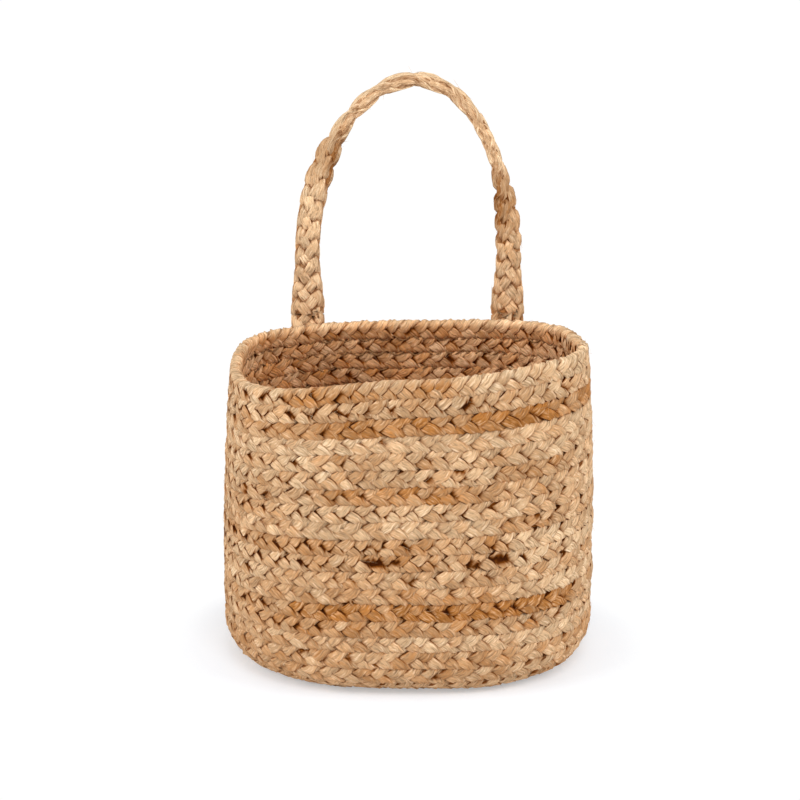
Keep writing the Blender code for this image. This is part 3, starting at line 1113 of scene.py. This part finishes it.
@dataclass
class CoiledBody:
    """The basket's body: one long braid, coiled from the middle of the floor to the rim."""

    route: CoilRoute = field(default_factory=CoilRoute)
    braid: Braid = field(default_factory=lambda: Braid(
        strand_count=3, wave=0.0290, swing=0.0037, rise=0.0012, strand_half_width=0.0031,
        strand_half_thick=0.0020, half_width=0.0045, half_height=0.0029, press_width=0.0050, seed=3,
        pillow=0.04, core_half_thick=0.0013, lift_play=0.0006, crease_shade=0.90, press_share=0.50))
    wave_at: tuple[tuple[float, float], ...] = (
        (0, 0.0270), (10, 0.0270), (11.7, 0.0260), (13.7, 0.0275), (15.7, 0.0245), (16.7, 0.0250),
        (18.7, 0.0300), (20.7, 0.0260), (21.7, 0.0285), (23.7, 0.0310), (24.3, 0.0265), (25.0, 0.0240),
        (27, 0.0230))
    parts: tuple[tuple[str, float], ...] = (
        ("braid_floor", 6.1), ("braid_corner", 9.15), ("braid_wall_1", 11.95), ("braid_wall_2", 14.75),
        ("braid_wall_3", 17.55), ("braid_wall_4", 20.35), ("braid_wall_5", 23.15), ("braid_rim", 27))
    base_tone: float = 0.36
    # Painted light on the inner face of the wall: a warm tint for light bounced inside the basket, a lighter
    # colour, and more painted shade in its creases.
    inside_bounce_tint: float = 0.20
    inside_painted_light: float = 0.36
    inside_shade: float = 0.15
    inside_crispness: float = 0.3
    # Painted crease shade is lighter towards the left end of the oval.
    left_end_calm: float = 0.30
    brim_paleness: float = 0.28
    row_sway: float = 0.00045
    sway_length: float = 0.028
    row_bulge: float = 0.00040
    bulge_length: float = 0.060
    hollow_depth: float = 0.0034
    hollow_floor: float = 0.0006
    stretches: tuple[Stretch, ...] = (
        Stretch(0.0, 11.0, crispness=-0.40),
        # Painted shade: the bottom row in the bend of the floor is warmed, which darkens it where shade
        # falls.
        Stretch(8.5, 9.0, warmth=0.12),
        Stretch(9.5, 10.0, warmth=0.04),
        Stretch(9.950, 9.972, warmth=0.4, mess=0.8),
        Stretch(10.74, 10.90, warmth=-0.20),
        Stretch(11.60, 11.88, warmth=0.22, crispness=0.2),
        Stretch(12.56, 12.66, warmth=0.25, crispness=0.3),
        Stretch(12.66, 12.90, warmth=0.66, crispness=0.4),
        Stretch(13.62, 13.82, warmth=0.28, crispness=-0.4),
        Stretch(13.82, 14.00, warmth=-0.22, crispness=-0.4),
        Stretch(14.50, 14.64, warmth=-0.12),
        Stretch(14.64, 15.00, warmth=0.10, crispness=-0.1),
        Stretch(15.50, 15.84, crispness=0.9),
        Stretch(15.68, 15.82, warmth=0.34),
        Stretch(15.82, 16.00, warmth=-0.16),
        Stretch(16.55, 16.82, warmth=0.26, crispness=0.9),
        Stretch(16.82, 16.90, warmth=-0.30),
        Stretch(16.960, 16.985, mess=0.8),
        Stretch(17.50, 17.80, warmth=-0.12, crispness=-0.6),
        Stretch(17.80, 17.89, warmth=0.14, mess=0.3),
        Stretch(18.55, 18.80, crispness=0.4),
        Stretch(18.80, 19.00, warmth=-0.10, crispness=-0.3),
        Stretch(19.60, 19.70, warmth=0.12, dullness=0.18, mess=0.3),
        Stretch(19.70, 19.78, warmth=0.48),
        Stretch(19.78, 19.86, warmth=0.16),
        Stretch(19.86, 20.00, warmth=-0.10, crispness=-0.4, mess=0.2),
        Stretch(20.55, 20.72, warmth=-0.16),
        Stretch(20.72, 20.80, dullness=0.10, mess=0.3),
        Stretch(20.80, 20.90, warmth=0.24),
        Stretch(21.50, 21.69, warmth=-0.12),
        Stretch(21.69, 21.84, warmth=0.14),
        Stretch(21.84, 22.00, crispness=-0.3),
        Stretch(22.50, 23.00, warmth=-0.14, crispness=-0.6),
        Stretch(23.56, 23.65, warmth=0.14),
        Stretch(23.65, 23.70, warmth=0.36),
        Stretch(23.70, 23.88, warmth=0.62, crispness=0.3),
        Stretch(23.88, 23.98, warmth=0.42),
        Stretch(24.50, 25.00, warmth=0.04, crispness=0.8),
        Stretch(24.68, 24.80, warmth=0.44, dullness=0.32, mess=0.2),
        Stretch(25.45, 25.66, warmth=-0.14, crispness=0.4),
        Stretch(25.66, 25.77, warmth=0.30, crispness=0.7),
        Stretch(25.77, 26.10, warmth=-0.12, dullness=0.08, crispness=0.2),
    )
    stretch_end: float = 0.02
    hollows: tuple[Hollow, ...] = (
        Hollow(15.734, 0.00, 0.0048, 0.45), Hollow(15.745, 0.15, 0.0026), Hollow(15.780, -0.55, 0.0030),
        Hollow(15.788, -0.45, 0.0020), Hollow(15.807, 0.10, 0.0040, 0.55), Hollow(20.772, 0.85, 0.0018, 0.25),
        Hollow(20.774, 0.15, 0.0014, 0.25), Hollow(18.870, -0.70, 0.0022), Hollow(17.846, 0.70, 0.0024),
        Hollow(11.876, 0.00, 0.0020), Hollow(15.882, -0.70), Hollow(19.594, -0.60),
        Hollow(24.745, -0.15, 0.0030, 0.20), Hollow(13.715, -0.95, 0.0026, 0.18),
        Hollow(9.674, 0.85, 0.0024, 0.25), Hollow(8.762, 0.10), Hollow(16.740, 0.40, 0.0020),
    )

    def over_stretches(self, turns: Array, trait: str) -> Array:
        """Add up one trait of all stretches at places along the coil."""
        total = np.zeros_like(turns)
        for stretch in self.stretches:
            inside = ease((turns - stretch.start) / self.stretch_end + 0.5)
            inside = inside * ease((stretch.end - turns) / self.stretch_end + 0.5)
            total = total + inside * getattr(stretch, trait)
        return total

    def weave(self) -> None:
        """Lay the braid along the coil, tone it, paint its shade and light, and press its hollows in."""
        self.rail, self.turns = self.route.rail(self.braid.stride, self.wave_at)
        on_wall = ease(self.turns - self.route.floor_turns)
        sway = self.row_sway * on_wall * wander(self.rail.reach, self.sway_length, 91)
        bulge = self.row_bulge * on_wall * wander(self.rail.reach, self.bulge_length, 92)
        offset = self.rail.across * sway[:, None] + self.rail.outward * bulge[:, None]
        self.rail.point = self.rail.point + offset
        self.mess = self.over_stretches(self.turns, "mess")
        strands = self.braid.weave(self.rail, self.mess)
        drift = 0.10 * wander(self.rail.reach, 0.25, 77)
        warmth = self.base_tone + drift + self.over_stretches(self.turns, "warmth")
        # Painted light on the inner face: warmer, lighter, and with more and darker painted shade in its
        # creases.
        inside = ease(-strands.height / self.braid.rise)
        strands.tone = strands.tone + warmth[:, None] + self.inside_bounce_tint * inside
        strands.light = strands.light * (1 + self.inside_painted_light * inside)
        strands.dullness = strands.dullness + self.over_stretches(self.turns, "dullness")[:, None]
        # How dark the painted crease shade is along the coil, lighter towards the left end of the oval.
        crispness = 1 + self.over_stretches(self.turns, "crispness")[:, None] + self.inside_crispness * inside
        left_end = ease(-self.rail.point[:, :1] / self.route.belly_half_width * 3 - 2)
        crispness = crispness * (1 - self.left_end_calm * left_end)
        strands.painted_shade = strands.painted_shade * crispness + self.inside_shade * inside
        last_row = ease((self.turns - self.route.last_turn + 1) / 0.1)[:, None]
        brim = last_row * ease((strands.aside - 0.50) / 0.40)
        strands.tone = strands.tone - self.brim_paleness * brim
        strands.painted_shade = strands.painted_shade * (1 - 0.7 * brim)
        self.strands = strands
        for hollow in self.hollows:
            self.press(hollow)

    def press(self, hollow: Hollow) -> None:
        """Push the show side of the braid in at a hollow and paint shade into it."""
        strands = self.strands
        reach = np.interp(hollow.turn, self.turns, self.rail.reach)
        near = np.abs(self.rail.reach - reach) < 3 * hollow.length
        along = (self.rail.reach[near] - reach)[:, None] / hollow.length
        across = (strands.aside[:, near] - hollow.aside) / hollow.width
        share = np.exp(-(along ** 2 + across ** 2) ** 2) * (strands.height[:, near] > 0)
        room = np.maximum(0, strands.height[:, near] - self.hollow_floor)
        push = np.minimum(self.hollow_depth * share, room)
        strands.skin[:, near] -= push[..., None] * self.rail.outward[near][:, None]
        # Painted shade in the hollow.
        strands.painted_shade[:, near] = np.maximum(strands.painted_shade[:, near], np.clip(1.6 * share, 0, 1))

    def build(self) -> None:
        """Make the braid's pieces."""
        self.weave()
        jute = JuteFinish("coil_jute").make()
        first = 0
        for name, end in self.parts:
            last = min(int(np.searchsorted(self.turns, end)), len(self.turns) - 1)
            piece = strands_piece(name, self.strands, first, last, jute)
            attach(piece, "basket")
            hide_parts("coiled_braid")
            report(piece)
            first = last


@dataclass
class HangingLoop:
    """The hanging loop: one wide braid of five strands, with both ends sewn behind the back wall."""

    route: LoopRoute
    braid: Braid = field(default_factory=lambda: Braid(
        strand_count=5, wave=0.0500, swing=0.0054, rise=0.0017, strand_half_width=0.0025,
        strand_half_thick=0.0019, half_width=0.0070, half_height=0.0032, press_width=0.0067, seed=8,
        stations_per_wave=36, order_power=0.5, edge_power=16.0, phase_play=0.10, swing_play=0.03,
        width_play=0.06, lift_play=0.0002, ridge_height=0.00016, core_half_thick=0.0018, core_tone=0.5,
        core_shade=0.20, crease_shade=0.66, dive_start=0.80, dive_range=0.42, turn_sharpness=0.94,
        stretch_power=0.8, press_share=0.25, tone_play=0.16))
    wave_at: tuple[tuple[float, float], ...] = (
        (0, 0.050), (0.15, 0.052), (0.28, 0.072), (0.45, 0.105), (0.62, 0.100), (0.74, 0.068), (0.85, 0.051),
        (1, 0.047))
    base_tone: float = 0.20
    # Painted light on the loop: the twisting arms are warmed and darkened as painted shade, the whole loop
    # and its upward crown are lightened, and the crown's crease shade is lighter.
    arm_shade_tint: float = 0.62
    side_tone: float = 0.08
    arm_shade: float = 0.26
    extra_light: float = 1.18
    crown_paleness: float = 0.16
    crown_dullness: float = 0.35
    crown_light: float = 0.06
    edge_calm: float = 0.5
    fold_reach: float = 0.006

    def build(self) -> None:
        """Make the loop's braid, which turns at the hinge line."""
        self.rail = self.route.rail(self.braid.stride, self.wave_at)
        self.strands = self.braid.weave(self.rail)
        edge_on = (1 - np.abs(self.rail.outward[:, 1]))[:, None]
        turning = 4 * edge_on * (1 - edge_on)
        # Painted shade tint on the twisting arms.
        tone = self.base_tone * (1 - edge_on) + self.arm_shade_tint * turning - self.crown_paleness * edge_on
        tone = tone + self.side_tone * self.rail.point[:, :1] / self.route.half_span
        self.strands.tone = self.strands.tone + tone
        self.strands.dullness = self.strands.dullness + self.crown_dullness * edge_on ** 2
        # Painted light: the whole loop is lightened, the twisting arms darkened and the crown that faces up
        # lightened; the crown also gets less painted crease shade.
        light = self.extra_light - self.arm_shade * turning + self.crown_light * edge_on ** 2
        self.strands.light = self.strands.light * light
        self.strands.painted_shade = self.strands.painted_shade * (1 - self.edge_calm * edge_on ** 2)
        count = self.strands.skin.shape[1]
        jute = JuteFinish("loop_jute").make()
        loop = strands_piece("hanging_loop_braid", self.strands, 0, count - 1, jute)
        self.fold(loop)
        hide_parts("hanging_loop", "loop_sewn_end_left", "loop_sewn_end_right")
        report(loop)

    def fold(self, piece: bpy.types.Object) -> None:
        """Bake a piece's placement into its mesh."""
        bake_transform(piece)


@dataclass
class Lacing:
    """The thread that laces each turn to the next, in the grooves of the inner side."""

    route: CoilRoute
    radius: float = 0.0005
    depth: float = 0.0024
    stitch_length: float = 0.0108
    half_reach: float = 0.0015
    bite: float = 0.0006
    stations_per_stitch: int = 8
    sides: int = 6

    def build(self, finish: bpy.types.Material) -> None:
        """Make the thread's piece."""
        turn = self.route.samples(self.route.first_turn, self.route.last_turn - 1 - self.route.tuck_turns)
        point, _, outward = self.route.frames(turn)
        next_point, _, next_outward = self.route.frames(turn + 1)
        normal = unit(outward + next_outward)
        middle = (point + next_point) / 2 - normal * self.depth
        level = np.ones_like(turn)
        stride = self.stitch_length / self.stations_per_stitch
        rail = Rail.through(middle, normal, level, level * self.stitch_length, stride)
        sway = np.sin(rail.phase)[:, None]
        path = rail.point + rail.across * self.half_reach * sway
        path = path + rail.outward * self.bite * (sway ** 2 - 0.5)
        radii = np.full((1, len(path)), self.radius)
        skin = round_tubes(path[None], radii, rail.outward[None], self.sides)
        quads, triangles = tube_faces(*skin.shape[:3])
        piece = skin_mesh("lacing_thread", skin.reshape(-1, 3), quads, triangles, {}, finish)
        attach(piece, "basket")
        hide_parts("seam_thread")
        report(piece)


@dataclass
class SewnStitches:
    """The stitches that hold the loop's ends to the back wall, three on each side."""

    route: LoopRoute
    rows: int = 3
    first_row: float = 0.75
    spare_rows: float = 0.5
    radius: float = 0.00055
    gap: float = 0.0003
    shoulder_width_share: float = 0.98
    shoulder_height_share: float = 0.8
    curve_steps: int = 6

    def build(self, finish: bpy.types.Material) -> None:
        """Make every stitch."""
        for side in Side:
            for row in range(self.rows):
                share = (row + self.first_row) / (self.rows + self.spare_rows)
                name = f"{side.name.lower()}_{row + 1}"
                self.stitch(side, share, name, finish)

    def stitch(self, side: Side, share: float, name: str, finish: bpy.types.Material) -> None:
        """Make one stitch as a bent round thread over the sewn end.

        Args:
            side: Which sewn end.
            share: Its place on it, from the top down.
            name: The end of its name.
            finish: The thread's finish.
        """
        points, normals = self.route.sewn_end(side, np.array([share]))
        normal = Vector(normals[0])
        along = Vector((normal.y, -normal.x, 0))
        beside = along * (self.route.foot_width / 2 + self.gap + self.radius)
        half = self.route.thickness / 2
        over = normal * (half + self.gap + self.radius)
        foot = normal * (self.radius - half)
        wide = beside * self.shoulder_width_share
        high = over * self.shoulder_height_share
        corners = (-beside + foot, -wide + high, over, wide + high, beside + foot)
        bpy.ops.object.select_all(action="DESELECT")
        bpy.ops.curve.primitive_bezier_curve_add(location=(0, 0, 0))
        curve = bpy.context.active_object
        spline = curve.data.splines[0]
        spline.bezier_points.add(len(corners) - len(spline.bezier_points))
        for knot, offset in zip(spline.bezier_points, corners):
            knot.co = Vector(points[0]) + offset
            knot.handle_left_type = knot.handle_right_type = "AUTO"
        curve.data.resolution_u = self.curve_steps
        curve.data.bevel_depth = self.radius
        curve.data.bevel_resolution = 2
        curve.data.use_fill_caps = True
        bpy.ops.object.convert(target="MESH")
        piece = bpy.context.active_object
        piece.name = "stitch_" + name
        bpy.ops.object.shade_smooth()
        piece.data.materials.append(finish)
        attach(piece, "basket")
        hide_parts("loop_stitch_" + name)
        report(piece)


@dataclass
class LooseFibres:
    """Fine jute fibres that lie over the braids or stand off them.

    Attributes:
        outer_count, inner_count, loop_count: How many there are outside, inside and on the loop.
        lengths: Shortest and longest fibre.
        radius: Half the thickness of the thickest.
        free_share: Share of them with an end that stands off.
    """

    outer_count: int = 3400
    inner_count: int = 900
    loop_count: int = 500
    lengths: tuple[float, float] = (0.003, 0.009)
    radius: float = 0.00008
    free_share: float = 0.20
    stray: float = 0.55
    edge_start: float = 0.4
    arc_share: float = 0.05
    highest_arc: float = 0.0005
    lift: float = 0.11
    mess_pull: float = 6.0
    rings: int = 7
    sides: int = 3

    def grow(self, name: str, rail: Rail, strands: Strands, weights: Array, count: int,
             seed: int) -> bpy.types.Object:
        """Grow fibres out of a braid's skin, none of which points away from the braid.

        Args:
            name: The piece's name.
            rail: The braid's path.
            strands: Its strands.
            weights: How many fibres grow at each strand, station and side, compared with the others.
            count: How many to grow.
            seed: Picks the random values.

        Returns:
            The piece.
        """
        random = np.random.default_rng(seed)
        flat = weights.ravel() / weights.sum()
        chosen = np.searchsorted(np.cumsum(flat), random.uniform(0, 1, count))
        strand, station, side = np.unravel_index(np.minimum(chosen, flat.size - 1), weights.shape)
        station = np.clip(station, 1, weights.shape[1] - 2)
        root = strands.skin[strand, station, side]
        outward = strands.outward[strand, station, side]
        forward = unit(strands.skin[strand, station + 1, side] - strands.skin[strand, station - 1, side])
        aside = np.cross(outward, forward)
        turned = random.normal(0, self.stray, count) + math.pi * (random.uniform(0, 1, count) < 0.5)
        way = forward * np.cos(turned)[:, None] + aside * np.sin(turned)[:, None]
        face = rail.outward[station] * np.sign(strands.height[strand, station, side])[:, None]
        place = strands.aside[strand, station, side]
        edge = rail.across[station] * (np.sign(place) * (np.abs(place) > self.edge_start))[:, None]
        for off in (face, edge):
            way = way - off * np.maximum(0, (way * off).sum(-1, keepdims=True))
        way = unit(way)
        bend = np.cross(outward, way) * random.uniform(-0.35, 0.35, count)[:, None]
        length = random.uniform(*self.lengths, count)
        free = random.uniform(0, 1, count) < self.free_share
        arc = np.minimum(length * self.arc_share, self.highest_arc) * random.uniform(0.4, 1.6, count)
        rise = length * self.lift * random.uniform(0.1, 1.0, count) ** 2
        step = np.linspace(0, 1, self.rings)[None, :]
        height = np.where(free[:, None], rise[:, None] * step ** 1.5, arc[:, None] * 4 * step * (1 - step))
        height = height - self.radius
        along = length[:, None] * step
        points = root[:, None] + way[:, None] * along[..., None] + outward[:, None] * height[..., None]
        points = points + bend[:, None] * (along * step)[..., None]
        thick = self.radius * random.uniform(0.5, 1.0, count)[:, None]
        radii = thick * (0.35 + 0.65 * np.sin(math.pi * (0.15 + 0.75 * step)))
        skin = round_tubes(points, radii, outward[:, None] + 0 * points, self.sides)
        quads, triangles = tube_faces(*skin.shape[:3])
        shape = skin.shape[:3]
        number = np.arange(count)[:, None, None] * 0.013
        local = np.stack(np.broadcast_arrays(along[..., None], number, 0 * skin[..., 0]), -1)
        tone = np.broadcast_to(random.uniform(0.0, 0.6, count)[:, None, None], shape)
        light = np.broadcast_to(random.uniform(0.85, 1.2, count)[:, None, None], shape)
        values = {
            "strand_space": local.reshape(-1, 3),
            "tone": tone.ravel(),
            "leaf_light": light.ravel(),
            "painted_shade": np.zeros(skin.size // 3),
            "dullness": np.zeros(skin.size // 3) + 0.1,
        }
        piece = skin_mesh(name, skin.reshape(-1, 3), quads, triangles, values, self.finish)
        report(piece)
        return piece

    def build(self, body: CoiledBody, loop: HangingLoop) -> None:
        """Grow the fibres of the body's two faces and of the loop."""
        self.finish = JuteFinish("fibre_jute").make()
        strands = body.strands
        level = strands.height / body.braid.half_height
        untidy = 1 + self.mess_pull * body.mess[None, :, None]
        on_wall = (body.turns > body.route.floor_turns)[None, :, None]
        faces = (("outer_fibres", level, self.outer_count, 5), ("inner_fibres", -level, self.inner_count, 6))
        for name, facing, count, seed in faces:
            shown = np.where(facing > 0.7, untidy * on_wall, 0)
            piece = self.grow(name, body.rail, strands, shown, count, seed)
            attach(piece, "basket")
            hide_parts("coiled_braid")
        level = np.abs(loop.strands.height) / loop.braid.half_height
        edge = np.abs(loop.strands.aside)
        shown = np.where(np.maximum(level, edge) > 0.75, 1.0, 0)
        piece = self.grow("loop_fibres", loop.rail, loop.strands, shown, self.loop_count, 7)
        loop.fold(piece)
        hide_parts("hanging_loop")


def main() -> None:
    """Build the studio and every piece."""
    logging.basicConfig(level=logging.INFO, format="%(message)s")
    Studio().build()
    body = CoiledBody()
    body.build()
    loop = HangingLoop(LoopRoute(body.route))
    loop.build()
    thread = ThreadFinish("jute_thread").make()
    Lacing(body.route).build(thread)
    SewnStitches(loop.route).build(thread)
    LooseFibres().build(body, loop)


if __name__ == "__main__":
    main()
